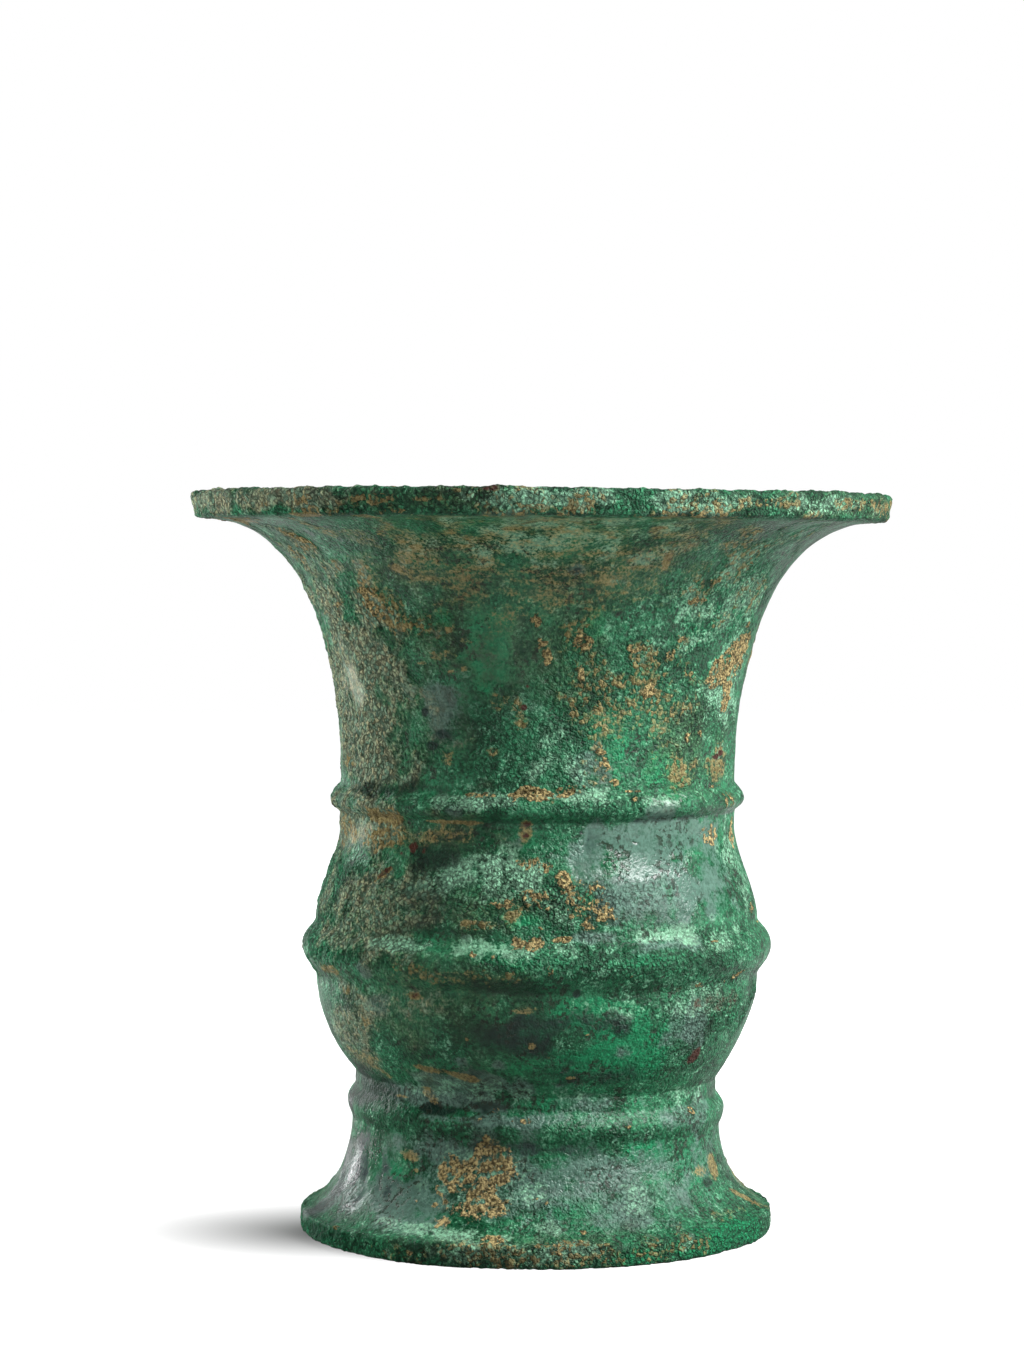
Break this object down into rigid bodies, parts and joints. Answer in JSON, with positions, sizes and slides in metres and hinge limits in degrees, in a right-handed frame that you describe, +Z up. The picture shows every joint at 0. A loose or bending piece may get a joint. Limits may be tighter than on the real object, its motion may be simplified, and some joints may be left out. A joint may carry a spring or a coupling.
{
  "type": "bronze zun",
  "caption": "Trumpet-mouthed ritual wine vessel of cast bronze: flared neck, round ridged belly and splayed hollow ring foot, with a green corroded patina; holds liquid or stems.",
  "frame": {"origin": "centre of the foot ring's resting face, on the vessel's axis", "axes": "+Z up along the vessel's axis from foot to mouth; -Y is the side the picture shows; +X is to the right in the picture"},
  "size_m": [0.228, 0.228, 0.2408],
  "materials": {
    "bronze_patina": "cast bronze under a green copper corrosion crust with blue-grey, brown and soil-coloured areas",
    "chaplet_bronze": "bronze casting spacer, corroded brown-green and flush with the wall"
  },
  "bodies": {
    "root": {"neck_casting": "bronze_patina", "belly_casting": "bronze_patina", "foot_casting": "bronze_patina", "floor_chaplet_1": "chaplet_bronze", "floor_chaplet_2": "chaplet_bronze", "floor_chaplet_3": "chaplet_bronze", "floor_chaplet_4": "chaplet_bronze", "foot_chaplet_1": "chaplet_bronze", "foot_chaplet_2": "chaplet_bronze", "foot_chaplet_3": "chaplet_bronze", "foot_chaplet_4": "chaplet_bronze", "lower_belly_chaplet_1": "chaplet_bronze", "lower_belly_chaplet_2": "chaplet_bronze", "lower_belly_chaplet_3": "chaplet_bronze", "lower_belly_chaplet_4": "chaplet_bronze", "lower_belly_chaplet_5": "chaplet_bronze", "lower_belly_chaplet_6": "chaplet_bronze", "neck_chaplet_1": "chaplet_bronze", "neck_chaplet_2": "chaplet_bronze", "neck_chaplet_3": "chaplet_bronze", "neck_chaplet_4": "chaplet_bronze", "neck_chaplet_5": "chaplet_bronze", "neck_chaplet_6": "chaplet_bronze", "upper_belly_chaplet_1": "chaplet_bronze", "upper_belly_chaplet_2": "chaplet_bronze", "upper_belly_chaplet_3": "chaplet_bronze", "upper_belly_chaplet_4": "chaplet_bronze", "upper_belly_chaplet_5": "chaplet_bronze", "upper_belly_chaplet_6": "chaplet_bronze"}
  },
  "joints": []
}
